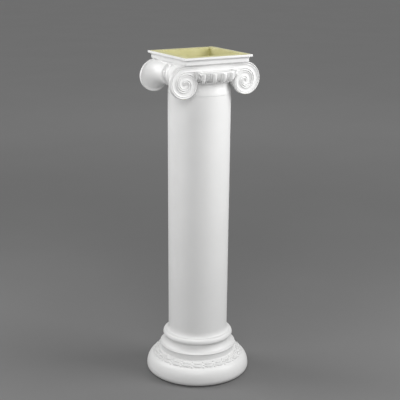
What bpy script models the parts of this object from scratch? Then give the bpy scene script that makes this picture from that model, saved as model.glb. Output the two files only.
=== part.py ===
"""Ionic column pedestal, hollow from end to end, made as three cast foam pieces.

The base, the shaft and the capital stand on each other and are glued at two flat
joints. Units are metres and +Z is up. The origin is the centre of the underside.
The two scroll faces of the capital look along -Y and +Y, and its rolled cushions
(bolsters) lie along Y on the -X and +X sides.
"""

import math

import bmesh
import bpy
import numpy as np
from mathutils import Matrix, Vector

# Overall
COLLECTION_NAME = "column_pedestal"
CUTTERS_NAME = "cutters"
BORE_RADIUS = 0.074            # round hollow through all three pieces
JOINT_GAP = 0.0003             # glue line between two pieces
TURNED_STEPS = 44              # facets round every turned piece
CUT_OVERSHOOT = 0.02           # how far a cutter stands past the face it opens
WELD = 0.00001                 # merge distance for doubled points
FLAT_ANGLE = math.radians(0.2) # faces closer to one plane than this become one

# Base
BASE_HEIGHT = 0.1329           # underside to the seat of the shaft
TORUS_RADIUS = 0.1597          # widest radius of the great torus
TORUS_UNDER = 0.0167           # height of its widest line, and its lower round
TORUS_ROUND = 0.0253           # width of its upper round
TORUS_RISE = 0.0389            # height of its upper round
GARLAND_OUTER = 0.1415         # outer radius of the leaf band
GARLAND_INNER = 0.1180         # inner radius of the leaf band
GARLAND_TOP = 0.0692           # height of the inner edge of the leaf band
GARLAND_BULGE = 0.40           # 0 makes the leaf band a straight slope
DADO_RADIUS = 0.1150           # plain band between leaf band and fillet
FILLET_RADIUS = 0.1179
FILLET_TOP = 0.0915
FILLET_HEIGHT = 0.0055
SCOTIA_TOP_RADIUS = 0.1005
SCOTIA_HEIGHT = 0.0230
SCOTIA_STEP = 0.0012           # flat at the foot of the scotia
DADO_STEP = 0.0008             # small slope under the fillet
COLLAR_RADIUS = 0.1083         # widest radius of the small upper torus
COLLAR_ROUND = 0.0086          # depth of its round
COLLAR_RISE = 0.0112           # height of its upper round
COLLAR_UNDER = 0.0058          # height of its lower round
COLLAR_END = -80.0             # degrees at which the scotia takes over from it
LEAF_GROUPS = 24
LEAF_LENGTH = 0.0265
LEAF_WIDTH = 0.0085
LEAF_HEIGHT = 0.0026
LEAF_ROW_SPACING = 0.0102      # between the inner and the outer row, down the slope

# Shaft
SHAFT_TOP_RADIUS = 0.0941
SHAFT_FOOT_RADIUS = 0.0914
SHAFT_HEIGHT = 0.7501
FOOT_RADIUS = 0.0990
FOOT_SWEEP = 0.0170            # height of the flare at the foot
FOOT_EDGE = 0.0015             # upright edge of the foot

# Capital
CAPITAL_HEIGHT = 0.1170        # joint with the shaft to the top of the abacus
NECK_RADIUS = 0.0905           # waist under the astragal
NECK_HEIGHT = 0.0349           # joint to the underside of the astragal
NECK_SWEEP = 0.0240            # height of the curve from the waist out to the shaft
NECK_SEAT = 0.0020             # plain edge at the joint
ABACUS_HALF = 0.1125           # half the side of the square top
ABACUS_LIP = 0.0065            # upright lip at the very top
ABACUS_COVE_HEIGHT = 0.0070
ABACUS_FASCIA_HALF = 0.1048    # half the side of the band under the cove
ABACUS_FASCIA_HEIGHT = 0.0080
POCKET_HALF = 0.0860           # half the side of the square opening in the top
POCKET_DEPTH = 0.0430
CUSHION_HALF_X = 0.1000        # block between the scrolls
CUSHION_HALF_Y = 0.0925
CUSHION_BOTTOM = 0.0560        # below the top of the abacus
ASTRAGAL_RADIUS = 0.0970
ASTRAGAL_HEIGHT = 0.0085
ECHINUS_FOOT_RADIUS = 0.0985
ECHINUS_RADIUS = 0.1180
ECHINUS_HEIGHT = 0.0250
ECHINUS_LEDGE = 0.0035         # upright edge above the swell
ECHINUS_START = -80.0          # degrees at which the swell leaves the astragal
EGG_PITCH = math.radians(360.0 / 22.0)
EGGS_PER_FACE = 5
EGG_HALF_WIDTH = 0.0098
EGG_HALF_HEIGHT = 0.0128
EGG_HALF_DEPTH = 0.0062
EGG_PLACE = 0.46               # middle of the eggs as a share of the swell
EGG_SINK = 0.0015              # how far the middle of an egg lies inside the swell
DART_HALF_WIDTH = 0.0026
DART_HALF_DEPTH = 0.0037
DART_RISE = 0.0010             # middle of a dart above the middle of the eggs

# Scrolls
EYE_X = 0.1005                 # eye of each scroll from the middle of the face
EYE_DROP = 0.0760              # eye below the top of the abacus
SCROLL_FACE = 0.0930           # channel floor of the scroll from the column axis
SCROLL_THICKNESS = 0.0080
SCROLL_TOP_GAP = 0.0006        # from the outline straight above the eye to the abacus
SCROLL_CLOSING = 0.4300        # share of that radius by which the scroll closes in one turn
SCROLL_TURNS = 2.30
SCROLL_WIDEN = 0.98            # width of the scroll as a share of an even spiral
SCROLL_LOWER = 0.94            # and its height
SCROLL_SIDES = 24              # facets in one turn of the outline
RIB_RADIUS = 0.0022            # rib along the scroll
RIB_INSET = 0.0030             # from the outline to the middle of the rib
RIB_STEPS = 12                 # rib points in one turn
RIB_START_X = 0.0400           # where the upper rib starts beside the middle of the face
RIB_START_SIZE = 0.80          # thickness there, as a share of the full rib
RIB_END_SIZE = 0.55            # and at the eye
CHANNEL_RIB_SIZE = 0.90
EYE_RADIUS = 0.0062
EYE_HEIGHT = 0.0030

# Bolsters
BOLSTER_SIDES = 20
BOLSTER_STATIONS = (0.35, 0.62, 0.84, 1.00)
BOLSTER_FLARE = 2.6            # higher keeps the trumpet slim for longer
BOLSTER_END_SHARE = 0.820      # radius at the plate, as a share of the scroll's outline
BOLSTER_END_OUT = 0.15         # middle of that end beyond the eye, as a share of the pitch
BOLSTER_END_UP = 0.26          # and above the eye
BELT_RADIUS = 0.0335
BELT_GROOVE = 0.0030
BELT_X = 0.0870
BELT_DROP = 0.0595
BELT_HALF_WIDTH = 0.0220
BELT_RING_WIDTH = 0.0110
BELT_EDGE = 0.0008             # slope at each side of a belt ring
BELT_SHOULDER = 0.0010         # belt rings above the trumpets

# Half palmettes in the inner corners of the scrolls
PETAL_ROOT_X = 0.0700
PETAL_ROOT_DROP = 0.0430
PETAL_FACE = 0.0985            # middle line of the petals from the column axis
PETAL_LENGTHS = (0.0270, 0.0320, 0.0330, 0.0260)
PETAL_ANGLES = (9.0, 33.0, 57.0, 80.0)
PETAL_HALF_WIDTH = 0.0040
PETAL_HALF_DEPTH = 0.0095

# Heights that follow
SHAFT_BOTTOM = BASE_HEIGHT
SHAFT_TOP = SHAFT_BOTTOM + SHAFT_HEIGHT
TOP = SHAFT_TOP + CAPITAL_HEIGHT
ASTRAGAL_BOTTOM = SHAFT_TOP + NECK_HEIGHT
EYE_Z = TOP - EYE_DROP
ABACUS_BOTTOM = TOP - ABACUS_LIP - ABACUS_COVE_HEIGHT - ABACUS_FASCIA_HEIGHT
SCROLL_TOP_RADIUS = (ABACUS_BOTTOM - SCROLL_TOP_GAP - EYE_Z) / SCROLL_LOWER
SCROLL_PITCH = SCROLL_TOP_RADIUS * SCROLL_CLOSING
BOLSTER_END_RADIUS = SCROLL_TOP_RADIUS * BOLSTER_END_SHARE
BOLSTER_END_X = EYE_X + SCROLL_WIDEN * SCROLL_PITCH * BOLSTER_END_OUT
BOLSTER_END_DROP = EYE_DROP - SCROLL_LOWER * SCROLL_PITCH * BOLSTER_END_UP


def clear_scene():
    for obj in list(bpy.data.objects):
        bpy.data.objects.remove(obj, do_unlink=True)


def new_collection(name):
    collection = bpy.data.collections.new(name)
    bpy.context.scene.collection.children.link(collection)
    return collection


def coated_foam(name, colour, roughness):
    """White brush-on coat over rigid foam."""
    material = bpy.data.materials.new(name)
    material.use_nodes = True
    shader = material.node_tree.nodes["Principled BSDF"]
    shader.inputs["Base Color"].default_value = (*colour, 1.0)
    shader.inputs["Roughness"].default_value = roughness
    shader.inputs["Metallic"].default_value = 0.0
    material.diffuse_color = (*colour, 1.0)
    return material


def add_object(name, mesh, collection):
    obj = bpy.data.objects.new(name, mesh)
    collection.objects.link(obj)
    if collection.name == CUTTERS_NAME:
        obj.hide_render = True
        obj.display_type = "WIRE"
    return obj


def mesh_from_bmesh(bm, name):
    mesh = bpy.data.meshes.new(name)
    bm.to_mesh(mesh)
    bm.free()
    return mesh


def bake(obj):
    """Replace an object's mesh by the mesh that its modifiers give."""
    depsgraph = bpy.context.evaluated_depsgraph_get()
    depsgraph.update()
    mesh = bpy.data.meshes.new_from_object(obj.evaluated_get(depsgraph))
    obj.modifiers.clear()
    obj.data = mesh
    return obj


def turned(name, profile, closed, steps, collection):
    """Profile points (radius, height), down the outer side, screwed round Z."""
    mesh = bpy.data.meshes.new(name)
    count = len(profile)
    edges = [(i, i + 1) for i in range(count - 1)]
    if closed:
        edges.append((count - 1, 0))
    mesh.from_pydata([(r, 0.0, z) for r, z in profile], edges, [])
    obj = add_object(name, mesh, collection)
    screw = obj.modifiers.new("Turn", "SCREW")
    screw.axis = "Z"
    screw.angle = 2.0 * math.pi
    screw.steps = steps
    screw.render_steps = steps
    screw.use_merge_vertices = True
    screw.merge_threshold = WELD
    screw.use_smooth_shade = False
    return bake(obj)


def arc(centre_r, centre_z, radius_r, radius_z, start, end, count):
    """Points of an ellipse arc, from start to end degrees, both ends in."""
    angles = np.radians(np.linspace(start, end, count))
    return [(centre_r + radius_r * math.cos(a), centre_z + radius_z * math.sin(a)) for a in angles]


def sweep_between(upper, lower, count):
    """Smooth S curve from the upper to the lower point, ends left out."""
    points = []
    for i in range(1, count + 1):
        u = i / (count + 1)
        blend = u * u * (3.0 - 2.0 * u)
        points.append((upper[0] + (lower[0] - upper[0]) * blend, upper[1] + (lower[1] - upper[1]) * u))
    return points


def combine(obj, tool, operation):
    """Boolean with the exact solver, applied, and the tool removed."""
    modifier = obj.modifiers.new(operation.title(), "BOOLEAN")
    modifier.operation = operation
    modifier.solver = "EXACT"
    modifier.object = tool
    bake(obj)
    bpy.data.objects.remove(tool, do_unlink=True)
    weld(obj.data)


def weld(mesh):
    """Closes the slits that a Boolean leaves where two surfaces nearly touch."""
    bm = bmesh.new()
    bm.from_mesh(mesh)
    bmesh.ops.remove_doubles(bm, verts=bm.verts, dist=WELD)
    bmesh.ops.dissolve_degenerate(bm, edges=bm.edges, dist=WELD)
    bm.to_mesh(mesh)
    bm.free()


def finish(obj, material, sharp_degrees):
    """Weld, face outwards, shade and colour a finished piece."""
    bm = bmesh.new()
    bm.from_mesh(obj.data)
    bmesh.ops.remove_doubles(bm, verts=bm.verts, dist=WELD)
    bmesh.ops.dissolve_degenerate(bm, edges=bm.edges, dist=WELD)
    bmesh.ops.dissolve_limit(bm, angle_limit=FLAT_ANGLE, verts=bm.verts, edges=bm.edges)
    bmesh.ops.triangulate(bm, faces=bm.faces)
    bmesh.ops.recalc_face_normals(bm, faces=bm.faces)
    bm.to_mesh(obj.data)
    bm.free()
    obj.data.materials.clear()
    obj.data.materials.append(material)
    obj.data.shade_smooth()
    obj.data.set_sharp_from_angle(angle=math.radians(sharp_degrees))


def blob(bm, segments, rings, matrix):
    """One closed ball in a mesh, given its size and place by a matrix."""
    bmesh.ops.create_uvsphere(bm, u_segments=segments, v_segments=rings, radius=1.0, matrix=matrix)


def frame_matrix(origin, x_axis, y_axis, z_axis, scale):
    """Place with three unit axes and a scale along each."""
    columns = [Vector(x_axis) * scale[0], Vector(y_axis) * scale[1], Vector(z_axis) * scale[2]]
    matrix = Matrix.Identity(4)
    for column, vector in enumerate(columns):
        for row in range(3):
            matrix[row][column] = vector[row]
    for row in range(3):
        matrix[row][3] = origin[row]
    return matrix


def base_profile():
    """Closed section of the base ring, from the shaft seat down the outside."""
    collar_centre = COLLAR_RADIUS - COLLAR_ROUND
    collar_height = BASE_HEIGHT - COLLAR_RISE
    scotia_top = FILLET_TOP + SCOTIA_HEIGHT
    fillet_bottom = FILLET_TOP - FILLET_HEIGHT
    torus_centre = TORUS_RADIUS - TORUS_ROUND
    garland_angle = math.degrees(math.acos((GARLAND_OUTER - torus_centre) / TORUS_ROUND))
    points = [(BORE_RADIUS, BASE_HEIGHT)]
    points += arc(collar_centre, collar_height, COLLAR_ROUND, COLLAR_RISE, 90.0, 0.0, 4)
    points += arc(collar_centre, collar_height, COLLAR_ROUND, COLLAR_UNDER, 0.0, COLLAR_END, 3)[1:]
    scotia_depth = FILLET_RADIUS - SCOTIA_TOP_RADIUS - SCOTIA_STEP
    points += arc(SCOTIA_TOP_RADIUS + scotia_depth, scotia_top, scotia_depth, SCOTIA_HEIGHT, 180.0, 270.0, 5)
    points += [(FILLET_RADIUS, FILLET_TOP), (FILLET_RADIUS, fillet_bottom)]
    points += [(DADO_RADIUS, fillet_bottom - DADO_STEP), (DADO_RADIUS, GARLAND_TOP)]
    points += garland_line(3)
    points += arc(torus_centre, TORUS_UNDER, TORUS_ROUND, TORUS_RISE, garland_angle, 0.0, 5)[1:]
    points += arc(TORUS_RADIUS - TORUS_UNDER, TORUS_UNDER, TORUS_UNDER, TORUS_UNDER, 0.0, -90.0, 4)[1:]
    points.append((BORE_RADIUS, 0.0))
    return points


def garland_line(count):
    """Section of the slope that carries the leaves: a shallow convex curve."""
    torus_centre = TORUS_RADIUS - TORUS_ROUND
    outer_z = TORUS_UNDER + TORUS_RISE * math.sqrt(1.0 - ((GARLAND_OUTER - torus_centre) / TORUS_ROUND) ** 2)
    points = []
    for i in range(count):
        u = i / (count - 1)
        r = GARLAND_INNER + (GARLAND_OUTER - GARLAND_INNER) * u
        z = GARLAND_TOP + (outer_z - GARLAND_TOP) * (u - GARLAND_BULGE * u * (1.0 - u))
        points.append((r, z))
    return points


def garland_leaves(collection):
    """Two rows of pointed leaves lying round the slope, a gap after each pair."""
    line = garland_line(3)
    inner, middle, outer = (Vector((r, 0.0, z)) for r, z in line)
    down = (outer - inner).normalized()
    outward = Vector((-down.z, 0.0, down.x))
    along = Vector((0.0, 1.0, 0.0))
    bm = bmesh.new()
    for group in range(LEAF_GROUPS):
        turn = Matrix.Rotation(2.0 * math.pi * group / LEAF_GROUPS, 4, "Z")
        for side in (-0.5, 0.5):
            centre = middle + down * (LEAF_ROW_SPACING * side)
            size = (LEAF_WIDTH / 2.0, LEAF_HEIGHT, LEAF_LENGTH / 2.0)
            place = frame_matrix(centre, down, outward, along, size)
            blob(bm, 4, 3, turn @ place)
    return add_object("leaves", mesh_from_bmesh(bm, "leaves"), collection)


def build_base(collection, cutters, material):
    base = turned("base", base_profile(), True, TURNED_STEPS, collection)
    combine(base, garland_leaves(cutters), "UNION")
    finish(base, material, 30.0)
    return base


def build_shaft(collection, material):
    top = SHAFT_TOP - JOINT_GAP / 2.0
    bottom = SHAFT_BOTTOM + JOINT_GAP
    foot_start = SHAFT_BOTTOM + FOOT_EDGE + FOOT_SWEEP
    flare = FOOT_RADIUS - SHAFT_FOOT_RADIUS
    points = [(SHAFT_TOP_RADIUS, top)]
    points += arc(SHAFT_FOOT_RADIUS + flare, foot_start, flare, FOOT_SWEEP, 180.0, 270.0, 5)
    points.append((FOOT_RADIUS, bottom))
    points += [(BORE_RADIUS, bottom), (BORE_RADIUS, top)]
    shaft = turned("shaft", points, True, TURNED_STEPS, collection)
    finish(shaft, material, 30.0)
    return shaft


def capital_core(collection):
    """Turned lower part of the capital: neck, astragal and swelling echinus."""
    bottom = SHAFT_TOP + JOINT_GAP / 2.0
    astragal_round = ASTRAGAL_HEIGHT / 2.0
    echinus_foot = ASTRAGAL_BOTTOM + ASTRAGAL_HEIGHT
    astragal_mid = ASTRAGAL_BOTTOM + astragal_round
    waist_end = (NECK_RADIUS, SHAFT_TOP + NECK_SEAT + NECK_SWEEP)
    drum_top = (SHAFT_TOP_RADIUS, SHAFT_TOP + NECK_SEAT)
    swell = ECHINUS_RADIUS - ECHINUS_FOOT_RADIUS
    echinus_top = echinus_foot + ECHINUS_HEIGHT
    points = [(0.0, echinus_top + ECHINUS_LEDGE), (ECHINUS_RADIUS, echinus_top + ECHINUS_LEDGE)]
    points += arc(ECHINUS_FOOT_RADIUS, echinus_top, swell, ECHINUS_HEIGHT, 0.0, ECHINUS_START, 5)
    points += arc(ASTRAGAL_RADIUS - astragal_round, astragal_mid, astragal_round, astragal_round, 60.0, -60.0, 4)
    points += [(NECK_RADIUS, ASTRAGAL_BOTTOM), waist_end]
    points += sweep_between(waist_end, drum_top, 2)
    points += [drum_top, (SHAFT_TOP_RADIUS, bottom), (0.0, bottom)]
    return turned("capital", points, False, TURNED_STEPS, collection)


def abacus_body(collection):
    """Square top plate: a lip, a cove and a plain band, turned in four steps."""
    cove_top = TOP - ABACUS_LIP
    cove_depth = ABACUS_HALF - ABACUS_FASCIA_HALF
    cove_bottom = cove_top - ABACUS_COVE_HEIGHT
    section = [(0.0, TOP), (ABACUS_HALF, TOP)]
    section += arc(ABACUS_HALF, cove_bottom, cove_depth, ABACUS_COVE_HEIGHT, 90.0, 180.0, 5)
    section += [(ABACUS_FASCIA_HALF, cove_bottom - ABACUS_FASCIA_HEIGHT)]
    section += [(0.0, cove_bottom - ABACUS_FASCIA_HEIGHT)]
    diagonal = [(half * math.sqrt(2.0), z) for half, z in section]
    obj = turned("abacus", diagonal, False, 4, collection)
    obj.data.transform(Matrix.Rotation(math.radians(45.0), 4, "Z"))
    return obj


def box(name, low, high, collection):
    bm = bmesh.new()
    bmesh.ops.create_cube(bm, size=1.0)
    size = Vector(high) - Vector(low)
    middle = (Vector(high) + Vector(low)) / 2.0
    bmesh.ops.scale(bm, vec=size, verts=bm.verts)
    bmesh.ops.translate(bm, vec=middle, verts=bm.verts)
    return add_object(name, mesh_from_bmesh(bm, name), collection)


def scroll_radius(turns):
    """Outline radius of the scroll, closing evenly with the turns made."""
    return SCROLL_TOP_RADIUS - SCROLL_PITCH * turns


def scroll_point(turns, radius, hand):
    """Point of the face plane (x, z) after so many turns from the top.

    The scroll leaves the top of the eye outwards, so hand is -1 on the -X side.
    """
    angle = 2.0 * math.pi * turns
    across = SCROLL_WIDEN * radius * math.sin(angle)
    return (hand * (EYE_X + across), EYE_Z + SCROLL_LOWER * radius * math.cos(angle))


def scroll_plate(hand, face, collection):
    """Flat disc of one scroll, its outline one turn of the spiral."""
    steps = [i / SCROLL_SIDES for i in range(SCROLL_SIDES + 1)]
    outline = [scroll_point(turns, scroll_radius(turns), hand) for turns in steps]
    front = face * SCROLL_FACE
    back = face * (SCROLL_FACE - SCROLL_THICKNESS)
    bm = bmesh.new()
    verts = [bm.verts.new((x, front, z)) for x, z in outline]
    disc = bm.faces.new(verts)
    raised = bmesh.ops.extrude_face_region(bm, geom=[disc])
    moved = [item for item in raised["geom"] if isinstance(item, bmesh.types.BMVert)]
    bmesh.ops.translate(bm, vec=(0.0, back - front, 0.0), verts=moved)
    bmesh.ops.recalc_face_normals(bm, faces=bm.faces)
    return add_object("scroll", mesh_from_bmesh(bm, "scroll"), collection)


def poly_curve(name, points, radii, depth, collection):
    """Closed-ended rib along a list of points, as a mesh."""
    curve = bpy.data.curves.new(name, "CURVE")
    curve.dimensions = "3D"
    curve.bevel_depth = depth
    curve.bevel_resolution = 0
    curve.use_fill_caps = True
    spline = curve.splines.new("POLY")
    spline.points.add(len(points) - 1)
    for item, point, radius in zip(spline.points, points, radii):
        item.co = (*point, 1.0)
        item.radius = radius
    obj = add_object(name + "_curve", curve, collection)
    bpy.context.view_layer.update()
    depsgraph = bpy.context.evaluated_depsgraph_get()
    mesh = bpy.data.meshes.new_from_object(obj.evaluated_get(depsgraph))
    bm = bmesh.new()
    bm.from_mesh(mesh)
    bmesh.ops.remove_doubles(bm, verts=bm.verts, dist=WELD)
    bmesh.ops.recalc_face_normals(bm, faces=bm.faces)
    bm.to_mesh(mesh)
    bm.free()
    solid = add_object(name, mesh, collection)
    solid.matrix_world = obj.matrix_world
    bpy.data.objects.remove(obj, do_unlink=True)
    return solid


def scroll_rib(hand, face, collection):
    """Raised rib that follows the scroll from the channel to near the eye."""
    y = face * SCROLL_FACE
    start_z = scroll_point(0.0, scroll_radius(0.0) - RIB_INSET, hand)[1]
    points = [(hand * RIB_START_X, y, start_z)]
    radii = [RIB_START_SIZE]
    count = int(SCROLL_TURNS * RIB_STEPS)
    for i in range(count + 1):
        turns = SCROLL_TURNS * i / count
        x, z = scroll_point(turns, scroll_radius(turns) - RIB_INSET, hand)
        points.append((x, y, z))
        radii.append(1.0 - (1.0 - RIB_END_SIZE) * turns / SCROLL_TURNS)
    return poly_curve("rib", points, radii, RIB_RADIUS, collection)


def channel_rib(face, collection):
    """Straight rib along the lower edge of the channel, scroll to scroll."""
    z = scroll_point(1.0, scroll_radius(1.0) - RIB_INSET, 1.0)[1]
    points = [(-EYE_X, face * SCROLL_FACE, z), (EYE_X, face * SCROLL_FACE, z)]
    return poly_curve("channel_rib", points, (CHANNEL_RIB_SIZE, CHANNEL_RIB_SIZE), RIB_RADIUS, collection)


def scroll_eyes(collection):
    """Four flat buttons in the middles of the scrolls."""
    bm = bmesh.new()
    for hand in (-1.0, 1.0):
        for face in (-1.0, 1.0):
            size = (EYE_RADIUS, EYE_RADIUS, EYE_HEIGHT)
            centre = (hand * EYE_X, face * SCROLL_FACE, EYE_Z)
            axes = ((1.0, 0.0, 0.0), (0.0, 0.0, face), (0.0, -face, 0.0))
            blob(bm, 10, 4, frame_matrix(centre, axes[0], axes[1], axes[2], size))
    bmesh.ops.recalc_face_normals(bm, faces=bm.faces)
    return add_object("eyes", mesh_from_bmesh(bm, "eyes"), collection)


def bolster_stations():
    """Places along the bolster: (y, share of the way from belt to end, radius change)."""
    ring = BELT_HALF_WIDTH - BELT_RING_WIDTH
    end = SCROLL_FACE - SCROLL_THICKNESS / 2.0
    half = [(ring - BELT_EDGE, 0.0, -BELT_GROOVE), (ring, 0.0, 0.0), (BELT_HALF_WIDTH, 0.0, 0.0)]
    half.append((BELT_HALF_WIDTH + BELT_EDGE, 0.0, -BELT_SHOULDER))
    for u in BOLSTER_STATIONS:
        y = BELT_HALF_WIDTH + (end - BELT_HALF_WIDTH) * u
        half.append((y, u ** BOLSTER_FLARE, -BELT_SHOULDER * (1.0 - u)))
    mirrored = [(-y, share, change) for y, share, change in reversed(half)]
    return mirrored + half


def bolster(hand, collection):
    """Rolled cushion between two scrolls: rings lofted along Y, waisted at the belt."""
    angles = np.linspace(0.0, 2.0 * math.pi, BOLSTER_SIDES, endpoint=False)
    bm = bmesh.new()
    rings = []
    for y, share, change in bolster_stations():
        radius = BELT_RADIUS + (BOLSTER_END_RADIUS - BELT_RADIUS) * share + change
        x = hand * (BELT_X + (BOLSTER_END_X - BELT_X) * share)
        z = TOP - (BELT_DROP + (BOLSTER_END_DROP - BELT_DROP) * share)
        rings.append([bm.verts.new((x + radius * math.cos(a), y, z + radius * math.sin(a))) for a in angles])
    for first, second in zip(rings, rings[1:]):
        for i in range(BOLSTER_SIDES):
            j = (i + 1) % BOLSTER_SIDES
            bm.faces.new((first[i], first[j], second[j], second[i]))
    bm.faces.new(rings[0])
    bm.faces.new(rings[-1])
    bmesh.ops.recalc_face_normals(bm, faces=bm.faces)
    return add_object("bolster", mesh_from_bmesh(bm, "bolster"), collection)


def echinus_point(share):
    """Radius, height and outward slope of the swelling echinus, foot to top."""
    angle = math.radians(ECHINUS_START * (1.0 - share))
    swell = ECHINUS_RADIUS - ECHINUS_FOOT_RADIUS
    foot = ASTRAGAL_BOTTOM + ASTRAGAL_HEIGHT
    radius = ECHINUS_FOOT_RADIUS + swell * math.cos(angle)
    height = foot + ECHINUS_HEIGHT + ECHINUS_HEIGHT * math.sin(angle)
    return radius, height, math.atan2(math.sin(angle) / ECHINUS_HEIGHT, math.cos(angle) / swell)


def eggs_and_darts(collection):
    """Eggs on the swelling echinus of both faces, with a dart between each two."""
    radius, height, slope = echinus_point(EGG_PLACE)
    bm = bmesh.new()
    outward = Vector((math.cos(slope), 0.0, math.sin(slope)))
    upward = Vector((-math.sin(slope), 0.0, math.cos(slope)))
    across = Vector((0.0, 1.0, 0.0))
    first = -(EGGS_PER_FACE - 1) / 2.0
    for face_turn in (-math.pi / 2.0, math.pi / 2.0):
        for index in range(EGGS_PER_FACE):
            turn = Matrix.Rotation(face_turn + (first + index) * EGG_PITCH, 4, "Z")
            centre = Vector((radius, 0.0, height)) - outward * EGG_SINK
            size = (EGG_HALF_WIDTH, EGG_HALF_DEPTH, EGG_HALF_HEIGHT)
            blob(bm, 8, 4, turn @ frame_matrix(centre, across, outward, upward, size))
        for index in range(EGGS_PER_FACE - 1):
            turn = Matrix.Rotation(face_turn + (first + index + 0.5) * EGG_PITCH, 4, "Z")
            centre = Vector((radius, 0.0, height)) + upward * DART_RISE
            size = (DART_HALF_WIDTH, DART_HALF_DEPTH, EGG_HALF_HEIGHT)
            blob(bm, 4, 4, turn @ frame_matrix(centre, across, outward, upward, size))
    bmesh.ops.recalc_face_normals(bm, faces=bm.faces)
    return add_object("eggs", mesh_from_bmesh(bm, "eggs"), collection)


def palmette_petals(order, collection):
    """One petal of each of the four half palmettes, fanned down from the scroll."""
    angle = math.radians(PETAL_ANGLES[order])
    length = PETAL_LENGTHS[order]
    bm = bmesh.new()
    for hand in (-1.0, 1.0):
        for face in (-1.0, 1.0):
            along = Vector((-hand * math.cos(angle), 0.0, -math.sin(angle)))
            outward = Vector((0.0, face, 0.0))
            across = along.cross(outward)
            root = Vector((hand * PETAL_ROOT_X, face * PETAL_FACE, TOP - PETAL_ROOT_DROP))
            centre = root + along * (length / 2.0)
            size = (PETAL_HALF_WIDTH, PETAL_HALF_DEPTH, length / 2.0)
            blob(bm, 5, 4, frame_matrix(centre, across, outward, along, size))
    bmesh.ops.recalc_face_normals(bm, faces=bm.faces)
    return add_object("petals", mesh_from_bmesh(bm, "petals"), collection)


def pocket_cutter(collection):
    """Square opening in the top, down to the shoulder of the round bore."""
    low = (-POCKET_HALF, -POCKET_HALF, TOP - POCKET_DEPTH)
    high = (POCKET_HALF, POCKET_HALF, TOP + CUT_OVERSHOOT)
    return box("pocket", low, high, collection)


def bore_cutter(collection):
    bm = bmesh.new()
    bottom = SHAFT_TOP - CUT_OVERSHOOT
    top = TOP - POCKET_DEPTH + CUT_OVERSHOOT
    place = Matrix.Translation((0.0, 0.0, (bottom + top) / 2.0))
    bmesh.ops.create_cone(bm, cap_ends=True, segments=TURNED_STEPS, radius1=BORE_RADIUS,
                          radius2=BORE_RADIUS, depth=top - bottom, matrix=place)
    return add_object("bore", mesh_from_bmesh(bm, "bore"), collection)


def build_capital(collection, cutters, material):
    capital = capital_core(collection)
    combine(capital, eggs_and_darts(cutters), "UNION")
    low = (-CUSHION_HALF_X, -CUSHION_HALF_Y, TOP - CUSHION_BOTTOM)
    high = (CUSHION_HALF_X, CUSHION_HALF_Y, TOP - ABACUS_LIP - ABACUS_COVE_HEIGHT)
    combine(capital, box("cushion", low, high, cutters), "UNION")
    for hand in (-1.0, 1.0):
        combine(capital, bolster(hand, cutters), "UNION")
        for face in (-1.0, 1.0):
            combine(capital, scroll_plate(hand, face, cutters), "UNION")
    for face in (-1.0, 1.0):
        combine(capital, channel_rib(face, cutters), "UNION")
        for hand in (-1.0, 1.0):
            combine(capital, scroll_rib(hand, face, cutters), "UNION")
    combine(capital, scroll_eyes(cutters), "UNION")
    for order in range(len(PETAL_ANGLES)):
        combine(capital, palmette_petals(order, cutters), "UNION")
    combine(capital, abacus_body(cutters), "UNION")
    combine(capital, pocket_cutter(cutters), "DIFFERENCE")
    combine(capital, bore_cutter(cutters), "DIFFERENCE")
    finish(capital, material, 30.0)
    return capital


def build():
    clear_scene()
    collection = new_collection(COLLECTION_NAME)
    cutters = new_collection(CUTTERS_NAME)
    white = coated_foam("coated_foam", (0.86, 0.86, 0.85), 0.42)
    build_base(collection, cutters, white)
    build_shaft(collection, coated_foam("coated_foam_shaft", (0.86, 0.86, 0.85), 0.40))
    build_capital(collection, cutters, coated_foam("coated_foam_capital", (0.87, 0.87, 0.86), 0.42))


build()
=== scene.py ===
"""White Ionic column pedestal of coated foam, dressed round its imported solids.

Metres, +Z up, the origin at the middle of the underside. The scroll faces look
along -Y and +Y and the rolled bolsters lie on the -X and +X sides.
"""

import math

import bmesh
import bpy
import numpy as np
from mathutils import Matrix, Vector


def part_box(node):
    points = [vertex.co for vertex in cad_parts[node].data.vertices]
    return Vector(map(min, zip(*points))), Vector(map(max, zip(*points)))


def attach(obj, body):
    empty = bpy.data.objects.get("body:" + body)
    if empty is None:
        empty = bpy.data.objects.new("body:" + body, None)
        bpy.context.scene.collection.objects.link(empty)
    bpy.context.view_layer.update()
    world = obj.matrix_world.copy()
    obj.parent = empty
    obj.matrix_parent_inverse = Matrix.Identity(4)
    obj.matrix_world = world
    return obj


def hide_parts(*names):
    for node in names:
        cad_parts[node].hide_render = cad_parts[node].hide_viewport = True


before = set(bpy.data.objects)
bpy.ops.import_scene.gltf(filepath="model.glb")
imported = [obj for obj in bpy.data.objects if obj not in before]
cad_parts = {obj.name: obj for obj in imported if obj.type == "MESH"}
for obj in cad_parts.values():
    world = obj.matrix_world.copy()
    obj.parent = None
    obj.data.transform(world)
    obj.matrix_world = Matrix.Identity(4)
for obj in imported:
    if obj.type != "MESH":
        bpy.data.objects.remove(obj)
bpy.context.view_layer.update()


# Base.
# The round foot is one casting of rigid foam with a bore, stood on its cut underside.
# Its outside is brushed with a white satin coat, over a garland of paired leaves that is
# cast with the slope above the great torus.

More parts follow.
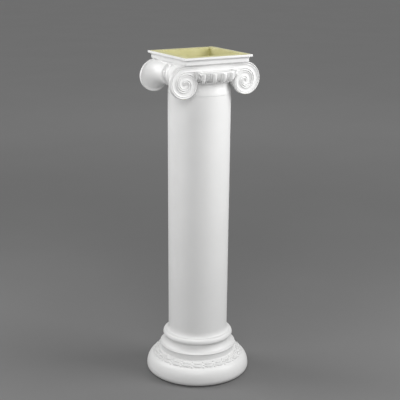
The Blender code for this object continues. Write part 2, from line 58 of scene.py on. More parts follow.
BASE_TURN = 720
BORE_RADIUS = 0.0740
base_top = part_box("base")[1].z
torus_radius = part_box("base")[1].x
TORUS_UNDER = 0.0167
TORUS_ROUND = 0.0253
TORUS_RISE = 0.0389
COLLAR_RADIUS = 0.1083
COLLAR_ROUND = 0.0086
COLLAR_RISE = 0.0112
COLLAR_UNDER = 0.0058
FILLET_ROUND = 0.0027
FILLET_RADIUS = 0.1179
FILLET_TOP = 0.0915
FILLET_HEIGHT = 0.0055
SCOTIA_RADIUS = 0.1003
SCOTIA_HEIGHT = 0.0230
DADO_RADIUS = 0.1150
GARLAND_INNER = 0.1180
GARLAND_OUTER = 0.1415
GARLAND_TOP = 0.0692
GARLAND_BULGE = 0.40
GARLAND_ROWS = 40
JOINT_MARGIN = 0.0020
BAND_MARGIN = 0.0006
FOOT_MARGIN = 0.0060
BORE_MARGIN = 0.0200
PAINT_MARGIN = 0.0002
LEAF_GROUPS = 24
LEAF_HEIGHT = 0.0038
LEAF_HALF_LENGTH = 0.0150
LEAF_HALF_WIDTH = 0.0052
LEAF_NOTCH = 0.10
LEAF_RIB_DEPTH = 0.42
LEAF_RIB_WIDTH = 0.0007
LEAF_PARTING = 0.0054
LEAF_SPLAY = 0.05
LEAF_TIP_SHARE = 0.55
INNER_WIDTH_SHARE = 0.92
INNER_HEIGHT_SHARE = 0.85
BUD_HEIGHT = 0.0032
BUD_BERRIES = ((-0.0088, 0.0026), (0.0, 0.0030), (0.0092, 0.0028))
SLOT_DEPTH = 0.0022
SLOT_HALF_WIDTH = 0.0011
SLOT_ENDS = 0.0125, 0.0150
COAT_LIGHT = (0.80, 0.80, 0.795)
BASE_COAT_SHADE = (0.765, 0.765, 0.76)
FOAM_LIGHT = (0.66, 0.62, 0.33)
FOAM_SHADE = (0.58, 0.54, 0.25)


def arc(centre_r, centre_z, radius_r, radius_z, start, end, count):
    """Section points on an ellipse: centre plus radii times cosine and sine, start to end degrees."""
    a = np.radians(np.linspace(start, end, count))
    return np.column_stack([centre_r + radius_r * np.cos(a), centre_z + radius_z * np.sin(a)])


def run(first, last, count):
    """Section points evenly spaced on the straight line between two points, both ends in."""
    u = np.linspace(0.0, 1.0, count)[:, None]
    return np.array(first) * (1.0 - u) + np.array(last) * u


def smooth_step(low, high, value):
    """0 below low, 1 above high and 3u^2 - 2u^3 between them."""
    u = np.clip((value - low) / (high - low), 0.0, 1.0)
    return u * u * (3.0 - 2.0 * u)


def turned(section, steps, lift):
    """A closed section (radius, height) carried round Z, each point moved out along the normal.

    Row i, column j is section point j at angle 2 pi i / steps; lift[i, j] is how far it
    is moved along the normal, which is the section's direction turned a quarter outwards.
    """
    along = np.roll(section, -1, axis=0) - np.roll(section, 1, axis=0)
    along /= np.linalg.norm(along, axis=1)[:, None]
    radius = section[:, 0] - along[:, 1] * lift
    height = section[:, 1] + along[:, 0] * lift
    angle = 2.0 * np.pi * np.arange(steps)[:, None] / steps
    x = radius * np.cos(angle)
    y = radius * np.sin(angle)
    return np.stack(np.broadcast_arrays(x, y, height), axis=-1)


def grid_mesh(name, points, ring):
    """Mesh of quads between neighbouring grid points, each line of columns closed on itself.

    With ring the last row joins the first; without it the first and last rows are closed
    by one face each. A mesh whose volume comes out negative has its faces turned round.
    """
    rows, columns = points.shape[:2]
    i, j = np.meshgrid(np.arange(rows if ring else rows - 1), np.arange(columns), indexing="ij")
    after_i = (i + 1) % rows
    after_j = (j + 1) % columns
    corners = [i * columns + j, after_i * columns + j, after_i * columns + after_j, i * columns + after_j]
    faces = np.stack(corners, axis=-1).reshape(-1, 4).tolist()
    if not ring:
        faces.append(list(range(columns)))
        faces.append(list(range((rows - 1) * columns, rows * columns))[::-1])
    mesh = bpy.data.meshes.new(name)
    mesh.from_pydata(points.reshape(-1, 3).tolist(), [], faces)
    return face_out(mesh)


def face_out(mesh):
    """Closes doubled points and turns the faces outwards by the sign of the volume."""
    bm = bmesh.new()
    bm.from_mesh(mesh)
    bmesh.ops.remove_doubles(bm, verts=bm.verts, dist=1e-6)
    if bm.calc_volume(signed=True) < 0.0:
        bmesh.ops.reverse_faces(bm, faces=bm.faces)
    bm.to_mesh(mesh)
    bm.free()
    return mesh


def add_piece(name, mesh, materials, sharp_degrees):
    """Links a mesh as an object with its materials, smooth but for edges over an angle."""
    piece = bpy.data.objects.new(name, mesh)
    bpy.context.scene.collection.objects.link(piece)
    for material in materials:
        mesh.materials.append(material)
    mesh.shade_smooth()
    mesh.set_sharp_from_angle(angle=math.radians(sharp_degrees))
    return piece


def paint_faces(mesh, is_bare):
    """Gives material 1 to the faces whose middle and normal satisfy is_bare, 0 to the others."""
    count = len(mesh.polygons)
    middle = np.empty(count * 3)
    normal = np.empty(count * 3)
    mesh.polygons.foreach_get("center", middle)
    mesh.polygons.foreach_get("normal", normal)
    bare = is_bare(middle.reshape(-1, 3), normal.reshape(-1, 3))
    mesh.polygons.foreach_set("material_index", bare.astype(np.int32))


def link(tree, source, target):
    """Joins one node's output to another node's input."""
    tree.links.new(source, target)


def noise(tree, coordinates, scale, detail, roughness):
    """Noise texture on object coordinates, its pattern size about 1 / scale metres."""
    node = tree.nodes.new("ShaderNodeTexNoise")
    node.inputs["Scale"].default_value = scale
    node.inputs["Detail"].default_value = detail
    node.inputs["Roughness"].default_value = roughness
    link(tree, coordinates, node.inputs["Vector"])
    return node.outputs["Fac"]


def blend_colours(tree, factor, first, second):
    """Colour between two colours by a factor from 0.3 to 0.7."""
    ramp = tree.nodes.new("ShaderNodeValToRGB")
    ramp.color_ramp.elements[0].position = 0.3
    ramp.color_ramp.elements[0].color = (*first, 1.0)
    ramp.color_ramp.elements[1].position = 0.7
    ramp.color_ramp.elements[1].color = (*second, 1.0)
    link(tree, factor, ramp.inputs["Fac"])
    return ramp.outputs["Color"]


def map_range(tree, value, low, high):
    """The value, scaled from 0..1 to low..high."""
    node = tree.nodes.new("ShaderNodeMapRange")
    node.inputs["To Min"].default_value = low
    node.inputs["To Max"].default_value = high
    link(tree, value, node.inputs["Value"])
    return node.outputs["Result"]


def bump(tree, height, distance, strength, under=None):
    """Normal bent by a height, on top of the bumps under it where there are any."""
    node = tree.nodes.new("ShaderNodeBump")
    node.inputs["Distance"].default_value = distance
    node.inputs["Strength"].default_value = strength
    link(tree, height, node.inputs["Height"])
    if under is not None:
        link(tree, under, node.inputs["Normal"])
    return node.outputs["Normal"]


def white_coat(name, light, shade, brush_direction):
    """White satin coat: faint clouding, the drag of a brush and a fine eggshell surface."""
    material = bpy.data.materials.new(name)
    material.use_nodes = True
    tree = material.node_tree
    shader = tree.nodes["Principled BSDF"]
    coordinates = tree.nodes.new("ShaderNodeTexCoord").outputs["Object"]
    stretch = tree.nodes.new("ShaderNodeMapping")
    stretch.inputs["Scale"].default_value = brush_direction
    link(tree, coordinates, stretch.inputs["Vector"])
    clouds = noise(tree, coordinates, 9.0, 4.0, 0.55)
    drag = noise(tree, stretch.outputs["Vector"], 240.0, 3.0, 0.60)
    eggshell = noise(tree, coordinates, 1100.0, 2.0, 0.50)
    waves = noise(tree, coordinates, 55.0, 2.0, 0.45)
    link(tree, blend_colours(tree, clouds, shade, light), shader.inputs["Base Color"])
    link(tree, map_range(tree, drag, 0.34, 0.46), shader.inputs["Roughness"])
    normal = bump(tree, waves, 0.0006, 0.25)
    normal = bump(tree, drag, 0.0002, 0.22, normal)
    normal = bump(tree, eggshell, 0.0001, 0.30, normal)
    link(tree, normal, shader.inputs["Normal"])
    shader.inputs["Specular IOR Level"].default_value = 0.45
    return material


def bare_foam(name, light, shade):
    """Uncoated rigid foam: pale yellow skin, clouded, with small open pores."""
    material = bpy.data.materials.new(name)
    material.use_nodes = True
    tree = material.node_tree
    shader = tree.nodes["Principled BSDF"]
    coordinates = tree.nodes.new("ShaderNodeTexCoord").outputs["Object"]
    clouds = noise(tree, coordinates, 22.0, 5.0, 0.60)
    grain = noise(tree, coordinates, 700.0, 3.0, 0.60)
    cells = tree.nodes.new("ShaderNodeTexVoronoi")
    cells.inputs["Scale"].default_value = 420.0
    link(tree, coordinates, cells.inputs["Vector"])
    pores = tree.nodes.new("ShaderNodeMapRange")
    pores.inputs["From Min"].default_value = 0.05
    pores.inputs["From Max"].default_value = 0.22
    link(tree, cells.outputs["Distance"], pores.inputs["Value"])
    colour = tree.nodes.new("ShaderNodeMix")
    colour.data_type = "RGBA"
    colour.blend_type = "MULTIPLY"
    colour.inputs["Factor"].default_value = 0.35
    link(tree, blend_colours(tree, clouds, shade, light), colour.inputs["A"])
    link(tree, pores.outputs["Result"], colour.inputs["B"])
    link(tree, colour.outputs["Result"], shader.inputs["Base Color"])
    link(tree, map_range(tree, grain, 0.66, 0.84), shader.inputs["Roughness"])
    normal = bump(tree, grain, 0.0003, 0.35)
    normal = bump(tree, pores.outputs["Result"], 0.0003, 0.40, normal)
    link(tree, normal, shader.inputs["Normal"])
    return material


torus_middle = torus_radius - TORUS_ROUND
foot_middle = torus_radius - TORUS_UNDER
garland_reach = (GARLAND_OUTER - torus_middle) / TORUS_ROUND
garland_foot = TORUS_UNDER + TORUS_RISE * math.sqrt(1.0 - garland_reach ** 2)
garland_angle = math.degrees(math.acos(garland_reach))
slope_share = np.linspace(0.0, 1.0, GARLAND_ROWS)
slope_fall = slope_share - GARLAND_BULGE * slope_share * (1.0 - slope_share)
garland_radius = GARLAND_INNER + (GARLAND_OUTER - GARLAND_INNER) * slope_share
garland_height = GARLAND_TOP + (garland_foot - GARLAND_TOP) * slope_fall
scotia_depth = FILLET_RADIUS - SCOTIA_RADIUS - FILLET_ROUND
scotia_middle = SCOTIA_RADIUS + scotia_depth
scotia_top = FILLET_TOP + SCOTIA_HEIGHT
collar_middle = COLLAR_RADIUS - COLLAR_ROUND
collar_waist = base_top - COLLAR_RISE
fillet_middle = FILLET_RADIUS - FILLET_ROUND
fillet_waist = FILLET_TOP - FILLET_ROUND
fillet_bottom = FILLET_TOP - FILLET_HEIGHT
base_parts = [
    run((BORE_RADIUS, base_top), (collar_middle - JOINT_MARGIN, base_top), 4),
    arc(collar_middle, collar_waist, COLLAR_ROUND, COLLAR_RISE, 90.0, 0.0, 12),
    arc(collar_middle, collar_waist, COLLAR_ROUND, COLLAR_UNDER, 0.0, -80.0, 8)[1:],
    arc(scotia_middle, scotia_top, scotia_depth, SCOTIA_HEIGHT, 176.0, 272.0, 14),
    arc(fillet_middle, fillet_waist, FILLET_ROUND, FILLET_ROUND, 80.0, -80.0, 9),
    run((DADO_RADIUS, fillet_bottom - BAND_MARGIN), (DADO_RADIUS, GARLAND_TOP + BAND_MARGIN), 6),
    np.column_stack([garland_radius, garland_height]),
    arc(torus_middle, TORUS_UNDER, TORUS_ROUND, TORUS_RISE, garland_angle, 0.0, 19)[1:],
    arc(foot_middle, TORUS_UNDER, TORUS_UNDER, TORUS_UNDER, 0.0, -90.0, 13)[1:],
    run((foot_middle - FOOT_MARGIN, 0.0), (BORE_RADIUS, 0.0), 5),
    run((BORE_RADIUS, BORE_MARGIN), (BORE_RADIUS, base_top - BORE_MARGIN), 4),
]
base_section = np.concatenate(base_parts)
garland_start = sum(len(part) for part in base_parts[:6])


def leaf(along, across, half_length, half_width, height):
    """Height of a pointed leaf, and 0 outside it.

    At the share u of its length the half width is the full one times sin(pi u)^0.75 with
    shallow notches. The body is an ellipse across it, a little lower towards the tips, and
    a fine groove runs along the middle.
    """
    share = np.clip(0.5 + along / (2.0 * half_length), 0.0, 1.0)
    notches = 1.0 + LEAF_NOTCH * np.cos(6.0 * np.pi * share)
    width = half_width * np.sin(np.pi * share) ** 0.75 * notches + 1e-6
    body = np.sqrt(np.clip(1.0 - (across / width) ** 2, 0.0, 1.0))
    rib = 1.0 - LEAF_RIB_DEPTH * np.exp(-((across / LEAF_RIB_WIDTH) ** 2))
    return height * body * rib * (LEAF_TIP_SHARE + (1.0 - LEAF_TIP_SHARE) * np.sin(np.pi * share))


def garland_relief(angle, down):
    """Leaf band seen flat: angle round the base and distance down the slope from its middle.

    Each group has an inner and an outer leaf, which part a little towards one end, with a
    long slot between them. Three berries in a row across the band mark the joint of two
    groups.
    """
    pitch = 2.0 * np.pi / LEAF_GROUPS
    mean_radius = (GARLAND_INNER + GARLAND_OUTER) / 2.0
    place = (angle / pitch + 0.5) % 1.0 - 0.5
    round_way = place * pitch * mean_radius
    spread = LEAF_PARTING + LEAF_SPLAY * round_way
    inner_width = LEAF_HALF_WIDTH * INNER_WIDTH_SHARE
    inner_height = LEAF_HEIGHT * INNER_HEIGHT_SHARE
    inner = leaf(round_way, down + spread, LEAF_HALF_LENGTH, inner_width, inner_height)
    outer = leaf(round_way, down - spread, LEAF_HALF_LENGTH, LEAF_HALF_WIDTH, LEAF_HEIGHT)
    from_joint = (place % 1.0 - 0.5) * pitch * mean_radius
    bud = np.zeros_like(from_joint)
    for offset, size in BUD_BERRIES:
        reach = np.sqrt(from_joint ** 2 + (down - offset) ** 2) / size
        bud = np.maximum(bud, BUD_HEIGHT * np.sqrt(np.clip(1.0 - reach ** 2, 0.0, 1.0)))
    slot_length = 1.0 - smooth_step(*SLOT_ENDS, np.abs(round_way))
    slot = SLOT_DEPTH * np.exp(-((down / SLOT_HALF_WIDTH) ** 2)) * slot_length
    return np.maximum(np.maximum(inner, outer), bud) - slot


slope_steps = np.diff(np.column_stack([garland_radius, garland_height]), axis=0)
slope_way = np.concatenate([[0.0], np.cumsum(np.linalg.norm(slope_steps, axis=1))])
from_middle = slope_way - slope_way[-1] / 2.0
base_lift = np.zeros((BASE_TURN, len(base_section)))
base_angle = 2.0 * np.pi * np.arange(BASE_TURN) / BASE_TURN
band = slice(garland_start, garland_start + GARLAND_ROWS)
base_lift[:, band] = garland_relief(base_angle[:, None], from_middle[None, :])

coat_on_base = white_coat("white_coat_base", COAT_LIGHT, BASE_COAT_SHADE, (0.25, 0.25, 1.0))
foam_of_base = bare_foam("bare_foam_base", FOAM_LIGHT, FOAM_SHADE)
base_mesh = grid_mesh("base_casting", turned(base_section, BASE_TURN, base_lift), True)
base = add_piece("base_casting", base_mesh, [coat_on_base, foam_of_base], 32.0)


def in_bore(middle):
    """The faces on the wall of the bore, by the radius of their middles."""
    return np.hypot(middle[:, 0], middle[:, 1]) < BORE_RADIUS + 2.5 * PAINT_MARGIN


def base_is_bare(middle, normal):
    """The bore and the cut underside."""
    return in_bore(middle) | ((normal[:, 2] < -0.99) & (middle[:, 2] < PAINT_MARGIN))


paint_faces(base.data, base_is_bare)
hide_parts("base")
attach(base, "root")


# Shaft.
# The shaft is a plain hollow casting, a little wider at the top, with a small flare at its
# foot. It is glued on the base, and the same white coat is brushed over the joint.

SHAFT_TURN = 192
SHAFT_ROWS = 60
SHAFT_TOP_RADIUS = 0.0941
SHAFT_FOOT_RADIUS = 0.0914
FOOT_SWEEP = 0.0170
FOOT_BAND = 0.0012
FOOT_EDGE = 0.0010
COAT_SHADE = (0.77, 0.77, 0.765)
shaft_low, shaft_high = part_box("shaft")
foot_radius = shaft_high.x
flare = foot_radius - SHAFT_FOOT_RADIUS
foot_start = shaft_low.z + FOOT_BAND + FOOT_SWEEP
shaft_section = np.concatenate([
    run((SHAFT_TOP_RADIUS, shaft_high.z), (SHAFT_FOOT_RADIUS, foot_start), SHAFT_ROWS),
    arc(foot_radius, foot_start, flare, FOOT_SWEEP, 180.0, 268.0, 12)[1:],
    run((foot_radius, shaft_low.z + FOOT_EDGE), (foot_radius, shaft_low.z), 2),
    run((BORE_RADIUS, shaft_low.z), (BORE_RADIUS, shaft_high.z), 12),
])
coat_on_shaft = white_coat("white_coat_shaft", COAT_LIGHT, COAT_SHADE, (1.0, 1.0, 0.12))
foam_of_shaft = bare_foam("bare_foam_shaft", FOAM_LIGHT, FOAM_SHADE)
shaft_points = turned(shaft_section, SHAFT_TURN, np.zeros(len(shaft_section)))
shaft_mesh = grid_mesh("shaft_casting", shaft_points, True)
shaft = add_piece("shaft_casting", shaft_mesh, [coat_on_shaft, foam_of_shaft], 32.0)


def shaft_is_bare(middle, normal):
    """The bore. The joints at both ends are hidden by the other castings."""
    return in_bore(middle)


paint_faces(shaft.data, shaft_is_bare)
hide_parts("shaft")
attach(shaft, "root")


# Capital, turned part.
# Neck, astragal and the swelling echinus are cast with the rest of the capital. Twenty-two
# eggs stand round the echinus with a dart between each two, and the neck widens in a soft
# S to the top of the shaft, on which the capital is glued with a hair's breadth between.

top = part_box("capital")[1].z
GLUE_LINE = 0.00002
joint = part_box("shaft")[1].z + GLUE_LINE
CORE_INNER = 0.0700
CORE_STEPS_PER_EGG = 30
EGGS_ROUND = 22
NECK_RADIUS = 0.0905
NECK_STRAIGHT = 0.0085
NECK_SWEEP = 0.0240
NECK_EDGE = 0.0004
NECK_ROWS = 14
ASTRAGAL_BOTTOM = 0.9179
ASTRAGAL_HEIGHT = 0.0085
ASTRAGAL_RADIUS = 0.0970
ECHINUS_FOOT = 0.0985
ECHINUS_RADIUS = 0.1180
ECHINUS_HEIGHT = 0.0250
ECHINUS_LEDGE = 0.0035
SMALL_FILLET = 0.0016
EDGE_BREAK = 0.0010
EGG_ROWS = 30
EGG_HALF_WIDTH = 0.0070
EGG_HEIGHT = 0.0052
SHELL_OFFSET = 0.0098
SHELL_HALF_WIDTH = 0.0015
SHELL_HEIGHT = 0.0036
EGG_FOOT = 0.06
EGG_WIDEST = 0.62
EGG_POINT = 2.2
EGG_FULL_FROM = 0.28
EGG_FOOT_SWELL = 1.8
DART_HEIGHT = 0.0026
DART_TIP = 0.0004
DART_SPREAD = 0.0016
DART_START = 0.04, 0.35

astragal_round = ASTRAGAL_HEIGHT / 2.0
echinus_foot_z = ASTRAGAL_BOTTOM + ASTRAGAL_HEIGHT
echinus_top_z = echinus_foot_z + ECHINUS_HEIGHT
astragal_middle = ASTRAGAL_RADIUS - astragal_round
astragal_waist = ASTRAGAL_BOTTOM + astragal_round
ledge_z = echinus_top_z + ECHINUS_LEDGE
swell = ECHINUS_RADIUS - ECHINUS_FOOT
neck_share = np.linspace(0.0, 1.0, NECK_ROWS)
neck_radius = NECK_RADIUS + (SHAFT_TOP_RADIUS - NECK_RADIUS) * smooth_step(0.0, 1.0, neck_share)
neck_height = ASTRAGAL_BOTTOM - NECK_STRAIGHT - NECK_SWEEP * neck_share
core_parts = [
    run((CORE_INNER, ledge_z), (ECHINUS_RADIUS - EDGE_BREAK, ledge_z), 3),
    run((ECHINUS_RADIUS, ledge_z - 0.8 * EDGE_BREAK),
        (ECHINUS_RADIUS, echinus_top_z + 0.6 * EDGE_BREAK), 3),
    arc(ECHINUS_FOOT - SMALL_FILLET, echinus_top_z, swell, ECHINUS_HEIGHT, 0.0, -82.0, EGG_ROWS),
    arc(astragal_middle, astragal_waist, astragal_round, astragal_round, 72.0, -78.0, 12),
    run((NECK_RADIUS + 0.6 * EDGE_BREAK, ASTRAGAL_BOTTOM - 0.2 * EDGE_BREAK),
        (NECK_RADIUS, ASTRAGAL_BOTTOM - SMALL_FILLET), 2),
    np.column_stack([neck_radius, neck_height]),
    run((SHAFT_TOP_RADIUS, joint + NECK_EDGE), (CORE_INNER, joint), 2),
]
core_section = np.concatenate(core_parts)
egg_start = len(core_parts[0]) + len(core_parts[1])


def egg_relief(angle, rise):
    """Eggs and darts on the swell: angle round the capital, and rise from 0 at its foot to 1.

    An egg is an ellipse across. Its half width falls below its widest place by the root of
    1 - (1 - v)^2.2, with v from 0 at its point to 1 there. A rounded shell runs round it,
    and a dart, a thin wedge, fills the gap to the next. All swell most near the foot.
    """
    pitch = 2.0 * np.pi / EGGS_ROUND
    mean_radius = (ECHINUS_FOOT + ECHINUS_RADIUS) / 2.0
    place = (angle / pitch + 0.5) % 1.0 - 0.5
    across = np.abs(place * pitch * mean_radius)
    fullness = smooth_step(0.0, EGG_FULL_FROM, rise) * (EGG_FOOT_SWELL - (EGG_FOOT_SWELL - 1.0) * rise)
    egg_share = np.clip((rise - EGG_FOOT) / EGG_WIDEST, 0.0, 1.0)
    half = EGG_HALF_WIDTH * np.sqrt(1.0 - (1.0 - egg_share) ** EGG_POINT) + 1e-6
    egg = EGG_HEIGHT * np.sqrt(np.clip(1.0 - (across / half) ** 2, 0.0, 1.0)) * fullness
    shell_share = np.clip(rise / EGG_WIDEST, 0.0, 1.0)
    ring = SHELL_OFFSET * np.sqrt(1.0 - (1.0 - shell_share) ** EGG_POINT)
    from_ring = (across - ring) / SHELL_HALF_WIDTH
    shell = SHELL_HEIGHT * np.sqrt(np.clip(1.0 - from_ring ** 2, 0.0, 1.0)) * fullness
    from_dart = pitch * mean_radius / 2.0 - across
    wedge = DART_TIP + DART_SPREAD * rise
    dart = DART_HEIGHT * np.clip(1.0 - from_dart / wedge, 0.0, 1.0) * smooth_step(*DART_START, rise)
    return np.maximum(np.maximum(egg, shell), dart)


core_turn = CORE_STEPS_PER_EGG * EGGS_ROUND
core_angle = 2.0 * np.pi * np.arange(core_turn) / core_turn
rise = 1.0 - np.linspace(0.0, 1.0, EGG_ROWS)
core_lift = np.zeros((core_turn, len(core_section)))
core_lift[:, egg_start:egg_start + EGG_ROWS] = egg_relief(core_angle[:, None], rise[None, :])
core_grid = turned(core_section, core_turn, core_lift)


# Capital, scroll faces.
# Each face is a plate with a raised rim that runs along the channel and winds into both
# scrolls, about two and a half turns each, to a ringed eye with a dimple.

EYE_X = 0.1005
EYE_DROP = 0.0760
FACE_PLANE = 0.0927
FACE_THICKNESS = 0.0077
SCROLL_TOP_RADIUS = 0.0573
SCROLL_PITCH = 0.0246
SCROLL_WIDEN = 0.98
SCROLL_LOWER = 0.94
TURN_STEPS = 72
SCROLL_COLUMNS = 177
CHANNEL_COLUMNS = 30
RIM_HEIGHT = 0.0025
REED_HEIGHT = 0.0013
RIDGE_HEIGHT = 0.0020
GROOVE_SINK = 0.0009
CHANNEL_SAG = 0.0005
DIMPLE_DEPTH = 0.0040
RIM_CREST = 0.0020
RIM_INNER = 0.0026, 0.0044
REED_PLACE = 0.0078
REED_HALF_WIDTH = 0.0013
RIDGE_PLACE = 0.0206
RIDGE_HALF_WIDTH = 0.0016
GROOVE_PLACES = 0.0050, 0.0235
GROOVE_HALF_WIDTH = 0.0009
CHANNEL_START = 0.0090
CHANNEL_LESS = 0.0140
CHANNEL_FLATNESS = 0.45
CHANNEL_RISE = 0.35, 0.95
DIMPLE_SHARES = 0.72, 0.20
EYE_RINGS = (0.80, 0.60, 0.42, 0.22)
EYE_RIM = (0.0007, 0.0007, 0.00028, 0.0)
ACROSS_MM = (0.0, 0.5, 1.0, 1.6, 2.3, 3.0, 3.6, 4.2, 4.8, 5.4, 6.1, 6.8, 7.5, 8.2, 9.0, 10.0,
             12.0, 14.5, 17.0, 18.2, 19.2, 20.0, 20.8, 21.6, 22.3, 23.0, 23.8, 24.6)
eye_z = top - EYE_DROP


def scroll_section(inward):
    """Height across the scroll by the distance inward from its outline.

    A rim at the outline, a fine groove, a low reed, the shallow hollow channel and a ridge
    with a second groove before the rim of the next turn. The rim rises by a quarter sine
    and falls by a smooth step, reed, ridge and grooves are bells exp(-t^2), and the
    channel is half a sine.
    """
    outer = np.sin(np.pi / 2.0 * np.clip(inward / RIM_CREST, 0.0, 1.0))
    inner = 1.0 - smooth_step(*RIM_INNER, inward)
    reed = np.exp(-(((inward - REED_PLACE) / REED_HALF_WIDTH) ** 2))
    ridge = np.exp(-(((inward - RIDGE_PLACE) / RIDGE_HALF_WIDTH) ** 2))
    grooves = sum(np.exp(-(((inward - place) / GROOVE_HALF_WIDTH) ** 2)) for place in GROOVE_PLACES)
    channel = np.clip((inward - CHANNEL_START) / (SCROLL_PITCH - CHANNEL_LESS), 0.0, 1.0)
    hollow = np.sin(np.pi * channel)
    height = RIM_HEIGHT * outer * inner + REED_HEIGHT * reed + RIDGE_HEIGHT * ridge
    return height - GROOVE_SINK * grooves - CHANNEL_SAG * hollow


def scroll_face(name, side):
    """One relief plate: side is -1 for the face towards -Y and 1 for the other.

    The half towards +X is a grid: columns run along the channel to the point above the eye
    and then wind inwards, rows run from the outline to the next turn. The radius falls by
    one pitch each turn, and places round the eye are stretched by SCROLL_WIDEN sideways and
    SCROLL_LOWER in height. Rings close the eye, a mirrored copy makes the other half, and
    the open edge is carried back and filled to make a closed plate.
    """
    across = np.array(ACROSS_MM) / ACROSS_MM[-1]
    turns = np.arange(SCROLL_COLUMNS + 1)[:, None] / TURN_STEPS
    outer = SCROLL_TOP_RADIUS - SCROLL_PITCH * turns
    eye = outer[-1, 0]
    width = outer - np.maximum(outer - SCROLL_PITCH, eye)
    radius = outer - width * across[None, :]
    angle = 2.0 * np.pi * turns
    x = EYE_X + SCROLL_WIDEN * radius * np.sin(angle)
    z = eye_z + SCROLL_LOWER * radius * np.cos(angle)
    height = scroll_section(outer - radius)
    straight = np.linspace(0.0, 1.0, CHANNEL_COLUMNS, endpoint=False)[:, None]
    straight_x, straight_z = np.broadcast_arrays(EYE_X * straight, z[:1])
    fade = CHANNEL_FLATNESS + (1.0 - CHANNEL_FLATNESS) * smooth_step(*CHANNEL_RISE, straight)
    x = np.concatenate([straight_x, x])
    z = np.concatenate([straight_z, z])
    height = np.concatenate([height[:1] * fade, height])
    rows = len(across)
    columns = len(x)
    i, j = np.meshgrid(np.arange(columns - 1), np.arange(rows - 1), indexing="ij")
    corners = [i * rows + j, i * rows + j + 1, (i + 1) * rows + j + 1, (i + 1) * rows + j]
    faces = np.stack(corners, axis=-1).reshape(-1, 4).tolist()
    inner = np.arange(columns - TURN_STEPS - 1, columns - 1) * rows + rows - 1
    rings = np.array(EYE_RINGS)[:, None]
    edge_x, edge_z, edge_h = (values.reshape(-1)[inner] for values in (x, z, height))
    rim = np.array(EYE_RIM)[:, None]
    sink = smooth_step(*DIMPLE_SHARES, rings)
    ring_x = EYE_X + (edge_x - EYE_X) * rings
    ring_z = eye_z + (edge_z - eye_z) * rings
    ring_h = edge_h * (1.0 - sink) + rim - DIMPLE_DEPTH * sink
    start = columns * rows
    count = len(inner)
    chain = [inner] + [start + k * count + np.arange(count) for k in range(len(rings))]
    for outside, inside in zip(chain, chain[1:]):
        ahead = [np.roll(outside, -1), np.roll(inside, -1)]
        faces += np.column_stack([outside, inside, ahead[1], ahead[0]]).tolist()
    centre = start + count * len(rings)
    faces += [[int(a), centre, int(b)] for a, b in zip(chain[-1], np.roll(chain[-1], -1))]
    x = np.concatenate([x.reshape(-1), ring_x.reshape(-1), [EYE_X]])
    z = np.concatenate([z.reshape(-1), ring_z.reshape(-1), [eye_z]])
    height = np.concatenate([height.reshape(-1), ring_h.reshape(-1), [-DIMPLE_DEPTH]])
    half = np.column_stack([x, side * (FACE_PLANE + height), z])
    points = np.concatenate([half, half * np.array([-1.0, 1.0, 1.0])])
    faces += [[index + len(half) for index in face[::-1]] for face in faces]
    mesh = bpy.data.meshes.new(name)
    mesh.from_pydata(points.tolist(), [], faces)
    bm = bmesh.new()
    bm.from_mesh(mesh)
    bmesh.ops.remove_doubles(bm, verts=bm.verts, dist=1e-6)
    bmesh.ops.recalc_face_normals(bm, faces=bm.faces)
    rim_edges = [edge for edge in bm.edges if edge.is_boundary]
    back = bmesh.ops.extrude_edge_only(bm, edges=rim_edges)["geom"]
    for vertex in (item for item in back if isinstance(item, bmesh.types.BMVert)):
        vertex.co.y = side * (FACE_PLANE - FACE_THICKNESS)
    back_edges = [item for item in back if isinstance(item, bmesh.types.BMEdge) and item.is_boundary]
    bmesh.ops.edgeloop_fill(bm, edges=back_edges)
    bmesh.ops.triangulate(bm, faces=bm.faces)
    bmesh.ops.recalc_face_normals(bm, faces=bm.faces)
    bm.to_mesh(mesh)
    bm.free()
    return face_out(mesh)


# Capital, bolsters.
# Each side of the capital is a rolled cushion: two trumpets that open towards the scroll
# plates and are drawn together by a belt of two rings with a groove between them.

BOLSTER_TURN = 112
BOLSTER_END_RADIUS = 0.0462
BOLSTER_END_X = 0.1040
BOLSTER_END_DROP = 0.0696
BELT_RADIUS = 0.0335
BELT_X = 0.0870
BELT_DROP = 0.0595
BELT_HALF_WIDTH = 0.0220
RING_WIDTH = 0.0112
GROOVE_DEPTH = 0.0058
TRUMPET_STEP = 0.0009
BOLSTER_FLARE = 2.6
RING_CROWN = 0.0012
GROOVE_SIDE = 0.0014
BELT_SIDE = 0.0002, 0.0016
BELT_FINE = 0.0030


